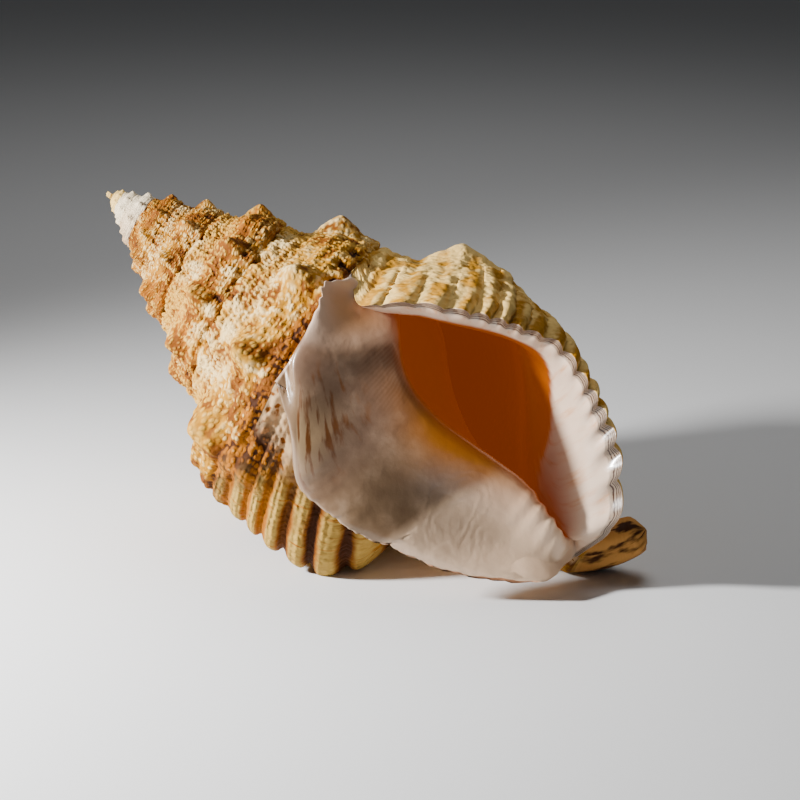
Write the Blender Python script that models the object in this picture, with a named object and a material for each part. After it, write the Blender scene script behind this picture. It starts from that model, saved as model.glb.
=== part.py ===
"""A large frog shell, a sea snail's shell of eight turns, lying on its varix and its base.

The shell is one solid. Its outside is a spiral band that is carried round the axis and enlarged by a
constant ratio each turn. Its mouth is lofted from the outer lip and the shield down into the last turn.
Sizes are in metres. The shell is worked out upright, with the apex at the origin, +X to the right of the
mouth, -Y towards a person who looks into the mouth and the canal down -Z, and is then laid down.
"""
import math

import bmesh
import bpy
import numpy as np

MM = 0.001

# Growth of the spiral
TURN_RATIO = 1.51
SHOULDER_DROP = 112 * MM
LIP_TURN = 0.125
LIP_ANGLE = math.radians(-45)
TURNS = 7
APEX_SMALLEST = 0.001
APEX_RAMP = (-0.3, 0.9)

# Outline of one turn, as drop and radius in multiples of the shoulder's drop from the apex
OUTLINE = [
    (0.765, 0.365), (0.80, 0.385), (0.86, 0.408), (0.92, 0.445), (0.97, 0.49), (1.02, 0.520),
    (1.08, 0.540), (1.155, 0.548), (1.25, 0.526), (1.34, 0.488), (1.42, 0.43), (1.50, 0.35),
    (1.58, 0.25), (1.65, 0.17), (1.70, 0.12), (1.74, 0.09), (1.80, 0.068), (1.884, 0.05),
]
SUTURE_DROP = OUTLINE[0][0]
CANAL_DROP = OUTLINE[-1][0]
DROP_RANGE = CANAL_DROP - SUTURE_DROP

# Spiral cords, from the upper suture to the end of the mouth
SPIRE_CORDS = 6
CORDS = 15
NEXT_SUTURE = (SUTURE_DROP * TURN_RATIO - SUTURE_DROP) / DROP_RANGE
CORD_STEP = NEXT_SUTURE / SPIRE_CORDS
MOUTH_END = CORDS * CORD_STEP
CORD_HEIGHT = 0.011

# The base of the last turn draws in and every growth line sweeps round to the canal
GATHER_FROM = 0.48
SWEEP_FROM = 0.70
SWEEP = math.radians(70)

# The last part of the last turn is drawn out to the lip
FLARE_TURNS = 0.13
FLARE_POWER = 1.3
LIP_ROUND = 0.25

# Knobs: place in the turn and size, then rows with their cord, shift, height, width, length and loss
KNOBS = [(0.00, 1.2), (0.18, 1.0), (0.293, 1.15), (0.40, 0.9), (0.51, 0.8), (0.621, 1.4), (0.73, 0.8),
         (0.83, 0.75), (0.92, 0.7)]
KNOB_ROWS = [
    (3.6, 0, 0.080, 0.0130, 0.78, 0.45),
    (6.5, 0, 0.050, 0.0120, 0.80, 0.90),
    (8.5, 0, 0.014, 0.0100, 0.50, 0.50),
    (8.5, 0.055, 0.014, 0.0100, 0.50, 0.50),
]
KNOBS_FADE = (-0.3, 0.0)

# Varices, old lips that stand across the turns
VARIX_TURN = -0.53
VARIX_SPACING = 0.68
VARIX_COUNT = 7
VARIX_HEIGHT = [(0, 0), (1, 0), (3.5, 0.085), (5.5, 0.075), (7.5, 0.12), (9, 0.175), (10.4, 0.225),
                (11.3, 0.18), (12, 0.06), (12.8, 0), (18, 0)]
VARIX_FADE = 0.85
VARIX_RISE = 0.055
VARIX_DROP = 0.018
VARIX_CORDS = 0.2

# The sculpture fades out at the lip, at the suture and on the base
LIP_SMOOTH = 0.03
SUTURE_SMOOTH = 0.02
BASE_SMOOTH = 0.70

# The base leans to the right, and the canal's end curls further that way and back
CANAL_LEAN = 10 * MM
CANAL_SIDE = math.radians(-10)
CANAL_LENGTH = 21 * MM
CANAL_START = math.radians(40)
CANAL_CURL = math.radians(35)
CANAL_ROUND = 0.2

# Outer lip, from the notch at the top to the canal: share of the way, then x, y and z in millimetres
LIP_MARGIN = [
    (0.04, 24, -42.5, -99.5), (0.10, 28, -48, -107), (0.16, 35, -50, -115), (0.24, 41, -51, -125.5),
    (0.33, 47, -49, -136.5), (0.43, 51.5, -46, -148), (0.54, 55, -41.5, -160), (0.65, 52, -38, -172),
    (0.745, 47.5, -34, -183.5), (0.83, 41, -30, -195), (0.90, 31, -26, -204), (0.95, 21, -21.5, -209.5),
]
LIP_FACE = [
    (0.04, 24.5, -39, -102.5), (0.10, 28.5, -43.5, -110), (0.16, 33.5, -45, -117), (0.24, 38, -45, -126.5),
    (0.33, 43.5, -43, -137.5), (0.43, 47.5, -39, -148), (0.54, 49.5, -34, -158.5), (0.65, 45.5, -30, -171),
    (0.745, 38, -26.5, -181.5), (0.83, 30, -24, -191), (0.90, 21, -21, -199), (0.95, 13, -19, -203.5),
]
LIP_THROAT = [
    (0.04, 29, -33.5, -110), (0.10, 30.5, -36.5, -113), (0.16, 33.5, -37.5, -118), (0.24, 38, -36, -127),
    (0.33, 43.5, -32.5, -138), (0.43, 47, -28, -147.5), (0.54, 45.5, -22, -157.5), (0.65, 38, -17.5, -167),
    (0.745, 29, -15, -176), (0.83, 20.5, -14.5, -185), (0.90, 13.5, -14.5, -193), (0.95, 9, -14.5, -199),
]

# Shield, the glazed plate over the last turn, from the notch to the canal in the same way
SHIELD_EDGE = [
    (0.02, 29.5, -35, -93), (0.04, 26.5, -39.5, -89.5), (0.06, 22.5, -43.5, -86), (0.09, 16, -47, -91.5),
    (0.12, 5, -50.5, -95.5), (0.16, -4, -50.5, -98), (0.20, -11, -50, -105), (0.24, -13, -50.5, -112),
    (0.28, -20.5, -46, -118), (0.31, -31.5, -38, -120.5), (0.34, -34, -36.5, -124),
    (0.42, -34.5, -34, -137), (0.52, -33.5, -31.5, -149), (0.62, -30, -29, -162.5),
    (0.72, -26, -26.5, -177.5), (0.80, -19.5, -24, -189.5), (0.88, -11, -21, -199),
    (0.94, -3.5, -18, -203.5),
]
SHIELD_MIDDLE = [
    (0.06, 24, -39.5, -95.5), (0.12, 9, -50.5, -106), (0.19, 1.5, -52.5, -114), (0.27, -5, -51, -124),
    (0.35, -10, -49.5, -134), (0.45, -12, -46, -147.5), (0.55, -10, -42, -160.5), (0.65, -7.5, -37, -173.5),
    (0.75, -5, -32, -184.5), (0.85, -2.5, -27, -196), (0.93, 0.5, -21, -202),
]
SHIELD_RIDGE = [
    (0.05, 28.5, -35.5, -112), (0.12, 23, -38.5, -118), (0.19, 17, -40.5, -124.5), (0.27, 13, -41, -132),
    (0.37, 11, -39, -143), (0.50, 11.5, -35, -156), (0.60, 12.5, -31, -167.5), (0.70, 13, -28, -178),
    (0.80, 10, -24.5, -188.5), (0.88, 8, -21.5, -196), (0.95, 6, -17, -201),
]
SHIELD_INSIDE = [
    (0.12, 21, -33.5, -115.5), (0.27, 13.5, -28.5, -133), (0.50, 11, -21, -156), (0.70, 10, -15.5, -177.5),
    (0.88, 7.5, -13.5, -194),
]
SHIELD_HOLD = 0.03
SHIELD_BEND = 2.1

# The shield is held along the suture first, for a sixth of a turn, and then down the base
EAR_COLUMNS = 12
EAR_SHARE = 0.24
HOLD_LEAVES = 0.25
HOLD_RETURNS = 0.8

# Bottom of the notch, and steps up the canal from the base, level by level into the mouth
NOTCH_PATH = [(28.5, -31.5, -95), (29, -33, -103), (30, -31, -110), (36, -24, -107)]
CANAL_PATH = [(0.7, -0.3, 1), (2.7, 0, 3), (4.2, 1.2, 5), (6.2, 4, 7)]

# Hollow of the last turn: radius and drop of its outer and inner wall, top to bottom
HOLLOW_TOP = (0.385, 0.885)
HOLLOW_FOOT = (0.08, 1.58)
HOLLOW_OUTER = [(0.12, 0.425, 0.95), (0.25, 0.475, 1.04), (0.40, 0.48, 1.15), (0.55, 0.43, 1.27),
                (0.72, 0.32, 1.39), (0.88, 0.18, 1.50)]
HOLLOW_INNER = [(0.12, 0.37, 0.96), (0.28, 0.30, 1.09), (0.45, 0.20, 1.21), (0.62, 0.13, 1.33),
                (0.80, 0.09, 1.46)]
HOLLOW_STEPS = [0.08, 0.16, 0.28, 0.42, 0.56]

# How finely the solid is cut
COLUMNS_PER_TURN = [18, 18, 18, 18, 36, 54, 72]
ROWS_PER_CORD = 2
CANAL_ROWS = 3
MOUTH_LEVELS = [0, 1, 1.5, 2, 2.5, 3, 3.5, 4, 5, 6, 7, 9]

# The way it lies: on the varix, the canal's root and a knob behind, each worn flat
TIP_AWAY = math.radians(8)
ROLL = math.radians(50.97)
LOOK_DOWN = math.radians(20.25)
WORN = 0.7 * MM


def curve_through(points, at):
    """Smooth curve through rows of a parameter and its values, read at the given parameters."""
    points = np.array(points, float)
    at = np.asarray(at, float)
    knot, value = points[:, 0], points[:, 1:]
    step = np.diff(knot)[:, None]
    slope = np.diff(value, axis=0) / step
    inner = (slope[:-1] * step[1:] + slope[1:] * step[:-1]) / (step[:-1] + step[1:])
    tangent = np.vstack([slope[:1], inner, slope[-1:]])
    cell = np.clip(np.searchsorted(knot, at, side="right") - 1, 0, len(knot) - 2)
    width = step[cell, 0][..., None]
    t = (at - knot[cell])[..., None] / width
    return ((2 * t**3 - 3 * t**2 + 1) * value[cell] + (t**3 - 2 * t**2 + t) * width * tangent[cell]
            + (3 * t**2 - 2 * t**3) * value[cell + 1] + (t**3 - t**2) * width * tangent[cell + 1])


def ramp(value, low, high):
    """Rises smoothly from 0 at low to 1 at high."""
    t = np.clip((value - low) / (high - low), 0, 1)
    return t * t * (3 - 2 * t)


def size_at(turn):
    """Shoulder's drop from the apex, which grows by the turn ratio each turn."""
    return SHOULDER_DROP * TURN_RATIO ** np.asarray(turn, float)


def late(across, start, power):
    """Rises from 0 at a share of the outline to 1 at the mouth's end, ever steeper."""
    return np.clip((across - start) / (MOUTH_END - start), 0, 1) ** power


def plain_body(turn, across):
    """Outside of the shell without lip or sculpture, at a turn and a share of the outline."""
    turn, across = np.broadcast_arrays(np.asarray(turn, float), np.asarray(across, float))
    drop = SUTURE_DROP + DROP_RANGE * across
    radius = curve_through(OUTLINE, drop)[..., 0]
    size, last = size_at(turn), size_at(LIP_TURN)
    height = drop * (size + (last - size) * late(across, GATHER_FROM, 2))
    radius = radius * (size + (last - size) * late(across, GATHER_FROM, 4))
    angle = LIP_ANGLE - SWEEP * late(across, SWEEP_FROM, 3) - 2 * math.pi * (turn - LIP_TURN)
    lean = CANAL_LEAN * late(across, GATHER_FROM, 3)
    return np.stack([radius * np.cos(angle) + lean * math.cos(CANAL_SIDE),
                     radius * np.sin(angle) + lean * math.sin(CANAL_SIDE), -height], axis=-1)


def with_ends(rows, level=0):
    """Adds the notch and the canal, where the lip meets the shield, to a list in millimetres."""
    notch = plain_body(LIP_TURN, 0.0)
    canal = plain_body(LIP_TURN, MOUTH_END)
    if level > 0:
        notch = np.array(NOTCH_PATH[level - 1]) * MM
        canal = canal + np.array(CANAL_PATH[level - 1]) * MM
    middle = [(row[0],) + tuple(value * MM for value in row[1:]) for row in rows]
    return [(0.0,) + tuple(notch)] + middle + [(1.0,) + tuple(canal)]


def body(turn, across):
    """Outside without sculpture: its last part is drawn out to the lip's margin."""
    flare = ramp(turn, LIP_TURN - FLARE_TURNS, LIP_TURN) ** FLARE_POWER
    share = np.clip(across / MOUTH_END, 0, 1)
    pull = curve_through(with_ends(LIP_MARGIN), share) - plain_body(LIP_TURN, across)
    pull = np.where((across <= MOUTH_END)[..., None], pull, 0)
    return plain_body(turn, across) + flare[..., None] * pull


def outward(turn, across):
    """Unit vectors that point out of the body."""
    small = 1e-4
    along = body(turn + small, across) - body(turn - small, across)
    down = body(turn, across + small) - body(turn, across - small)
    normal = np.cross(along, down)
    return normal / np.linalg.norm(normal, axis=-1, keepdims=True)


def knob_relief(turn, across):
    """Rows of rounded knobs, each a bell on the body, of uneven size."""
    relief = np.zeros_like(turn)
    for cord, shift, height, width, length, loss in KNOB_ROWS:
        kept = 1 - loss * ramp(turn, *KNOBS_FADE)
        crosswise = (across / CORD_STEP - cord) / length
        for place, size in KNOBS:
            sideways = ((turn - place - shift + 0.5) % 1 - 0.5) / width
            relief += height * size * kept * np.exp(-0.5 * (sideways**2 + crosswise**2))
    return relief


def varix_relief(turn, across):
    """Old lips: each rises slowly in the direction of growth and drops at once behind."""
    relief = np.zeros_like(turn)
    for number in range(VARIX_COUNT):
        past = turn - (VARIX_TURN - VARIX_SPACING * number)
        width = np.where(past < 0, VARIX_RISE, VARIX_DROP)
        relief += np.exp(-0.5 * (past / width) ** 2) * VARIX_FADE ** number
    return relief * np.clip(curve_through(VARIX_HEIGHT, across / CORD_STEP)[..., 0], 0, None)


def relief_at(turn, across):
    """Height of the sculpture over the body, in metres."""
    cords = 0.5 - 0.5 * np.cos(2 * math.pi * across / CORD_STEP)
    varix = varix_relief(turn, across)
    height = CORD_HEIGHT * cords + knob_relief(turn, across) + varix * (1 - VARIX_CORDS + VARIX_CORDS * cords)
    edge = 1 - ramp(turn, LIP_TURN - LIP_SMOOTH, LIP_TURN)
    ends = ramp(across, 0, SUTURE_SMOOTH) * (1 - ramp(across, BASE_SMOOTH, MOUTH_END))
    return height * size_at(turn) * edge * ends


def outside(turn, across):
    """Finished outside of the shell."""
    return body(turn, across) + relief_at(turn, across)[..., None] * outward(turn, across)


def canal_end(angle, share):
    """Curled tube below the mouth: circles carried along an arc, which close in a rounded tip."""
    across = MOUTH_END + share * (1 - MOUTH_END)
    radius = curve_through(OUTLINE, SUTURE_DROP + DROP_RANGE * across)[..., 0] * size_at(LIP_TURN)
    rounding = np.clip(share - 1 + CANAL_ROUND, 0, 1) / CANAL_ROUND
    radius = radius * np.sqrt(np.clip(1 - rounding**2, 0.02, 1))
    side = np.array([math.cos(CANAL_SIDE), math.sin(CANAL_SIDE), 0])
    cross = np.array([-math.sin(CANAL_SIDE), math.cos(CANAL_SIDE), 0])
    down = np.array([0, 0, -1])
    start = CANAL_LEAN * side - plain_body(LIP_TURN, MOUTH_END)[2] * down
    reach = CANAL_LENGTH / CANAL_CURL
    curl = CANAL_START + CANAL_CURL * share
    sideways = reach * (math.cos(CANAL_START) - np.cos(curl))
    downwards = reach * (np.sin(curl) - math.sin(CANAL_START))
    centre = start + sideways[..., None] * side + downwards[..., None] * down
    tilt = (CANAL_START + CANAL_CURL) * share
    tilted = np.cos(tilt)[..., None] * side - np.sin(tilt)[..., None] * down
    return (centre + (radius * np.cos(angle - CANAL_SIDE))[..., None] * tilted
            + (radius * np.sin(angle - CANAL_SIDE))[..., None] * cross)


def shield_share(down):
    """Share of the shield's edge that lies over a share of the way from the suture to the canal."""
    return EAR_SHARE + (1 - EAR_SHARE) * down**SHIELD_BEND


def hold_turn(down):
    """Turn at which the body holds the shield below the suture, just inside its free edge."""
    across = NEXT_SUTURE + (MOUTH_END - NEXT_SUTURE) * down
    edge = curve_through(with_ends(SHIELD_EDGE), shield_share(down))
    lean = CANAL_LEAN * late(across, GATHER_FROM, 3)
    angle = np.arctan2(edge[..., 1] - lean * math.sin(CANAL_SIDE), edge[..., 0] - lean * math.cos(CANAL_SIDE))
    past = (LIP_ANGLE - SWEEP * late(across, SWEEP_FROM, 3) - angle) / (2 * math.pi)
    first = EAR_COLUMNS / COLUMNS_PER_TURN[-1]
    settled = ramp(down, 0, HOLD_LEAVES)
    inside = (past - SHIELD_HOLD) * settled + first * (1 - settled)
    return LIP_TURN - 1 + inside * (1 - ramp(down, HOLD_RETURNS, 1))


def hollow(back, wall, share):
    """Wall of the hollow at some turns back from the lip."""
    turn = LIP_TURN - back
    ends = [(0.0,) + HOLLOW_TOP] + wall + [(1.0,) + HOLLOW_FOOT]
    radius, drop = np.moveaxis(curve_through(ends, share), -1, 0)
    angle = LIP_ANGLE + 2 * math.pi * back
    size = size_at(turn)
    return np.stack([radius * size * math.cos(angle), radius * size * math.sin(angle), -drop * size], axis=-1)


def mouth_levels(lip_share, share, lip_edge, hold):
    """Loops from the shell's free edge into the hollow, which the mouth is lofted through."""
    margin = curve_through(with_ends(LIP_MARGIN), lip_share)
    face = curve_through(with_ends(LIP_FACE, 2), lip_share)
    throat = curve_through(with_ends(LIP_THROAT, 3), lip_share)
    inner = hollow(HOLLOW_STEPS[0], HOLLOW_OUTER, lip_share)
    lip = [lip_edge, margin + LIP_ROUND * (face - margin), face, throat, 0.5 * (throat + inner)]
    shield = [hold] + [curve_through(with_ends(rows, level + 1), share) for level, rows in
                       enumerate((SHIELD_EDGE, SHIELD_MIDDLE, SHIELD_RIDGE, SHIELD_INSIDE))]
    loops = [join_loop(one, other) for one, other in zip(lip, shield)]
    for back in HOLLOW_STEPS:
        loops.append(join_loop(hollow(back, HOLLOW_OUTER, lip_share),
                               hollow(back, HOLLOW_INNER, share)))
    return np.array(loops)


def join_loop(lip, shield):
    """One closed loop: down the lip from the notch, then back up the shield."""
    lip[0] = 0.5 * (lip[0] + shield[0])
    lip[-1] = 0.5 * (lip[-1] + shield[-1])
    return np.vstack([lip, shield[::-1][1:-1]])


def quads(lower, upper, closed=False):
    """Faces between two rows of the same number of points."""
    faces = [(lower[i], lower[i + 1], upper[i + 1], upper[i]) for i in range(len(lower) - 1)]
    if closed:
        faces.append((lower[-1], lower[0], upper[0], upper[-1]))
    return faces


def zipper(lower, upper):
    """Triangles between two rows whose numbers of points differ."""
    faces, i, j = [], 0, 0
    while i < len(lower) - 1 or j < len(upper) - 1:
        if j == len(upper) - 1 or (i < len(lower) - 1
                                   and (i + 1) * (len(upper) - 1) <= (j + 1) * (len(lower) - 1)):
            faces.append((lower[i], lower[i + 1], upper[j]))
            i += 1
        else:
            faces.append((lower[i], upper[j + 1], upper[j]))
            j += 1
    return faces


def shell_mesh():
    """Points and faces of the whole shell, upright."""
    points, faces = [np.zeros((1, 3))], []
    count = 1

    def add(new):
        nonlocal count
        new = np.asarray(new).reshape(-1, 3)
        points.append(new)
        count += len(new)
        return list(range(count - len(new), count))

    rows = SPIRE_CORDS * ROWS_PER_CORD
    spire_across = np.arange(rows) * CORD_STEP / ROWS_PER_CORD
    column = [0] * rows
    last_row = None
    for number, columns in enumerate(COLUMNS_PER_TURN):
        first = LIP_TURN - TURNS + number
        turn = first + np.arange(1, columns + 1) / columns
        grid = outside(*np.meshgrid(turn, spire_across, indexing="ij"))
        if number == 0:
            grown = ramp(turn, first + APEX_RAMP[0], first + APEX_RAMP[1])
            grid *= np.maximum(grown, APEX_SMALLEST)[:, None, None]
        band = [column] + [add(one) for one in grid]
        upper = [one[0] for one in band]
        if number == 0:
            faces += [(0, upper[i + 1], upper[i]) for i in range(1, columns)]
        else:
            faces += zipper(last_row, upper)
        for one, other in zip(band[:-1], band[1:]):
            faces += [face for face in quads(other, one) if len(set(face)) == 4]
            if one[0] == 0:
                faces += [(0, other[i], other[i + 1]) for i in range(rows - 1)]
        last_row = [one[-1] for one in band]
        column = band[-1]

    # The last turn's lower part, from the suture to the end of the mouth
    levels = (CORDS - SPIRE_CORDS) * ROWS_PER_CORD
    down = np.arange(levels + 1) / levels
    across = NEXT_SUTURE + (MOUTH_END - NEXT_SUTURE) * down
    turn = LIP_TURN - 1 + np.arange(1, columns + 1) / columns
    suture = [band[-1][0]] + add(outside(turn, np.full_like(turn, NEXT_SUTURE)))
    faces += quads([one[-1] for one in band], suture)
    hold, lip = suture[:EAR_COLUMNS + 1], [suture[-1]]
    previous = suture[EAR_COLUMNS:]
    for step in range(1, levels + 1):
        start = hold_turn(down[step])
        turn = start + (LIP_TURN - start) * np.arange(len(previous)) / (len(previous) - 1)
        place = outside(turn, np.full_like(turn, across[step]))
        row = add(place if step < levels else place[:-1])
        if step == levels:
            row.append(row[0])
        faces += quads(previous, row)
        hold.append(row[0])
        lip.append(row[-1])
        previous = row

    # The curled canal below it
    ring = previous[:-1]
    columns = len(ring)
    angle = LIP_ANGLE - SWEEP - 2 * math.pi * np.arange(columns) / columns
    for step in range(1, CANAL_ROWS + 1):
        new = add(canal_end(angle, np.full(columns, step / CANAL_ROWS)))
        faces += quads(ring, new, closed=True)
        ring = new
    tip = add(canal_end(angle, np.ones(columns)).mean(axis=0))[0]
    faces += [(ring[i], ring[(i + 1) % columns], tip) for i in range(columns)]

    # The mouth, lofted from the free edge into the hollow
    edge = band[-1] + lip + hold[::-1][1:-1]
    everything = np.vstack(points)
    lip_share = np.concatenate([spire_across, across]) / MOUTH_END
    ear_share = EAR_SHARE * np.arange(EAR_COLUMNS) / EAR_COLUMNS
    share = np.concatenate([ear_share, shield_share(down)])
    levels = mouth_levels(lip_share, share, everything[band[-1] + lip], everything[hold])
    knots = np.arange(len(levels))
    rows = [(knot,) + tuple(level.reshape(-1)) for knot, level in zip(knots, levels)]
    lofted = curve_through(rows, MOUTH_LEVELS[1:]).reshape(len(MOUTH_LEVELS) - 1, -1, 3)
    ring = edge
    for loop in lofted:
        new = add(loop)
        faces += quads(new, ring, closed=True)
        ring = new
    end = add(lofted[-1].mean(axis=0))[0]
    faces += [(ring[(i + 1) % len(ring)], ring[i], end) for i in range(len(ring))]
    return np.vstack(points), faces


def lay_down(points):
    """Turns the upright shell the way it lies and stands it on its worn spots, round the origin."""
    x, y, z = np.moveaxis(points, -1, 0)
    back = y * math.cos(TIP_AWAY) + z * math.sin(TIP_AWAY)
    along = z * math.cos(TIP_AWAY) - y * math.sin(TIP_AWAY)
    right = x * math.cos(ROLL) - along * math.sin(ROLL)
    up = x * math.sin(ROLL) + along * math.cos(ROLL)
    laid = np.stack([right, up * math.sin(LOOK_DOWN) + back * math.cos(LOOK_DOWN),
                     up * math.cos(LOOK_DOWN) - back * math.sin(LOOK_DOWN)], axis=-1)
    low, high = laid.min(axis=0), laid.max(axis=0)
    return laid - np.array([(low[0] + high[0]) / 2, (low[1] + high[1]) / 2, low[2] + WORN])


def wear_flat(mesh):
    """Cuts the mesh off at the ground and closes each cut with one flat face."""
    work = bmesh.new()
    work.from_mesh(mesh)
    everything = work.verts[:] + work.edges[:] + work.faces[:]
    bmesh.ops.bisect_plane(work, geom=everything, dist=1e-6, plane_co=(0, 0, 0), plane_no=(0, 0, -1),
                           clear_outer=True)
    bmesh.ops.holes_fill(work, edges=[edge for edge in work.edges if edge.is_boundary])
    work.to_mesh(mesh)
    work.free()


def shell_material():
    """Worn cream shell."""
    material = bpy.data.materials.new("shell")
    material.use_nodes = True
    surface = material.node_tree.nodes["Principled BSDF"]
    surface.inputs["Base Color"].default_value = (0.75, 0.58, 0.38, 1)
    surface.inputs["Roughness"].default_value = 0.55
    surface.inputs["Metallic"].default_value = 0
    return material


def main():
    for thing in list(bpy.data.objects):
        bpy.data.objects.remove(thing)
    points, faces = shell_mesh()
    mesh = bpy.data.meshes.new("shell")
    mesh.from_pydata(lay_down(points).tolist(), [], faces)
    wear_flat(mesh)
    mesh.materials.append(shell_material())
    mesh.shade_smooth()
    shell = bpy.data.objects.new("shell", mesh)
    bpy.context.scene.collection.objects.link(shell)


main()
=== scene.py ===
"""A large frog shell on a pale sweep of paper, lit from the left and slightly behind."""

import math

import bpy
import numpy as np
from mathutils import Matrix, Vector


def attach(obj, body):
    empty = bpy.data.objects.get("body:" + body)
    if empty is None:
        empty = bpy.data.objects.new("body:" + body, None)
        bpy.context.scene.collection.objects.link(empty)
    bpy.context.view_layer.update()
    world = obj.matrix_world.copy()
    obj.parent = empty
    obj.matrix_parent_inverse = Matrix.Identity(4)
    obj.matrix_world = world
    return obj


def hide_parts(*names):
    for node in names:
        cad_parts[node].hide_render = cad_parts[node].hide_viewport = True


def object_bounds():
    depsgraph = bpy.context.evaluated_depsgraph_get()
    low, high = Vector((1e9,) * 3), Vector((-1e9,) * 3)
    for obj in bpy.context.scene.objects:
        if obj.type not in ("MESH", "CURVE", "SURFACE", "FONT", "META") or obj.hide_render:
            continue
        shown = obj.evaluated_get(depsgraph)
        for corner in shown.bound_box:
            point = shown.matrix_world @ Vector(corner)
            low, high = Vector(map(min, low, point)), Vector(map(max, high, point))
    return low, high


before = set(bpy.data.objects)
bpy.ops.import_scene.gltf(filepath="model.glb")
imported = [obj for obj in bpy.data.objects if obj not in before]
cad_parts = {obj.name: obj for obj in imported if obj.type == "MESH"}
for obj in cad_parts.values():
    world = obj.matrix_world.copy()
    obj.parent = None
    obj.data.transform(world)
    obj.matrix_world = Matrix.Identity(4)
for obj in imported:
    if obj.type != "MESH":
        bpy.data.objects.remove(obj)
packed_box = [list(corner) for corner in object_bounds()]

# Shape of the spiral. The shell grew as one tube that turns round an axis and widens by a constant ratio.
# The outline of a turn is given as drop and radius, in multiples of the shoulder's drop from the apex.
MM = 0.001
TURN_RATIO = 1.51
SHOULDER_DROP = 112 * MM
LIP_TURN = 0.125
LIP_ANGLE = math.radians(-45)
TURNS = 7.6
OUTLINE = [
    (0.765, 0.365), (0.80, 0.385), (0.86, 0.408), (0.92, 0.445), (0.97, 0.49), (1.02, 0.520),
    (1.08, 0.540), (1.155, 0.548), (1.25, 0.526), (1.34, 0.488), (1.42, 0.43), (1.50, 0.35),
    (1.58, 0.25), (1.65, 0.17), (1.70, 0.12), (1.74, 0.09), (1.80, 0.068), (1.884, 0.05),
]
SUTURE_DROP = OUTLINE[0][0]
DROP_RANGE = OUTLINE[-1][0] - SUTURE_DROP
SPIRE_CORDS = 6
CORDS = 15
NEXT_SUTURE = (SUTURE_DROP * TURN_RATIO - SUTURE_DROP) / DROP_RANGE
CORD_STEP = NEXT_SUTURE / SPIRE_CORDS
MOUTH_END = CORDS * CORD_STEP
GATHER_FROM = 0.48
SWEEP_FROM = 0.70
SWEEP = math.radians(70)
CANAL_LEAN = 10 * MM
CANAL_SIDE = math.radians(-10)
TIP_AWAY = math.radians(8)
ROLL = math.radians(50.97)
LOOK_DOWN = math.radians(20.25)
GROUND = (-0.0917196, 0.0389925, 0.1104983)


def curve_through(points, at):
    """Piecewise cubic through rows of (parameter, values): each piece is fixed by the values at its two ends
    and by slopes there, which are the weighted means of the neighbouring chords' slopes."""
    points = np.array(points, float)
    at = np.asarray(at, float)
    knot, value = points[:, 0], points[:, 1:]
    step = np.diff(knot)[:, None]
    slope = np.diff(value, axis=0) / step
    inner = (slope[:-1] * step[1:] + slope[1:] * step[:-1]) / (step[:-1] + step[1:])
    tangent = np.vstack([slope[:1], inner, slope[-1:]])
    cell = np.clip(np.searchsorted(knot, at, side="right") - 1, 0, len(knot) - 2)
    width = step[cell, 0][..., None]
    t = (at - knot[cell])[..., None] / width
    return ((2 * t**3 - 3 * t**2 + 1) * value[cell] + (t**3 - 2 * t**2 + t) * width * tangent[cell]
            + (3 * t**2 - 2 * t**3) * value[cell + 1] + (t**3 - t**2) * width * tangent[cell + 1])


def ramp(value, low, high):
    """Smooth step: 3t^2 - 2t^3, with t the share of the way from low to high, held between 0 and 1."""
    t = np.clip((value - low) / (high - low), 0, 1)
    return t * t * (3 - 2 * t)


def bell(value, centre, width):
    """Gaussian bell, exp of minus half the square of the distance in widths."""
    return np.exp(-0.5 * ((value - centre) / width) ** 2)


def size_at(turn):
    """Shoulder's drop from the apex: it is multiplied by the turn ratio at each turn."""
    return SHOULDER_DROP * TURN_RATIO ** np.asarray(turn, float)


def late(across, start, power):
    """Power curve from 0 at a share of the outline to 1 at the mouth's end."""
    return np.clip((across - start) / (MOUTH_END - start), 0, 1) ** power


def ripple(a, b):
    """Mean of four products of sines whose frequencies share no common period: a smooth, uneven field."""
    return 0.25 * (np.sin(1.00 * a + 1.3 * np.sin(0.71 * b)) * np.cos(1.13 * b + 0.4)
                   + np.sin(1.73 * a - 2.1 * b + 1.1) + np.sin(0.61 * a + 2.9 * b + 2.0)
                   + np.cos(2.47 * a + 0.83 * b + 0.7 * np.sin(1.9 * a)))


def plain_body(turn, across):
    """Logarithmic spiral surface: drop and radius of the outline times the size at that turn. Towards the base
    every turn takes the last turn's size, the growth lines sweep round and the whole leans to the right."""
    turn, across = np.broadcast_arrays(np.asarray(turn, float), np.asarray(across, float))
    drop = SUTURE_DROP + DROP_RANGE * across
    radius = curve_through(OUTLINE, drop)[..., 0]
    size, last = size_at(turn), size_at(LIP_TURN)
    height = drop * (size + (last - size) * late(across, GATHER_FROM, 2))
    radius = radius * (size + (last - size) * late(across, GATHER_FROM, 4))
    angle = LIP_ANGLE - SWEEP * late(across, SWEEP_FROM, 3) - 2 * math.pi * (turn - LIP_TURN)
    lean = CANAL_LEAN * late(across, GATHER_FROM, 3)
    return np.stack([radius * np.cos(angle) + lean * math.cos(CANAL_SIDE),
                     radius * np.sin(angle) + lean * math.sin(CANAL_SIDE), -height], axis=-1)


def lay_down(points):
    """Turns the upright shell as it lies: tipped back, rolled on its side, leaned to the look-down angle."""
    x, y, z = np.moveaxis(points, -1, 0)
    back = y * math.cos(TIP_AWAY) + z * math.sin(TIP_AWAY)
    along = z * math.cos(TIP_AWAY) - y * math.sin(TIP_AWAY)
    right = x * math.cos(ROLL) - along * math.sin(ROLL)
    up = x * math.sin(ROLL) + along * math.cos(ROLL)
    return np.stack([right, up * math.sin(LOOK_DOWN) + back * math.cos(LOOK_DOWN),
                     up * math.cos(LOOK_DOWN) - back * math.sin(LOOK_DOWN)], axis=-1)


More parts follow.
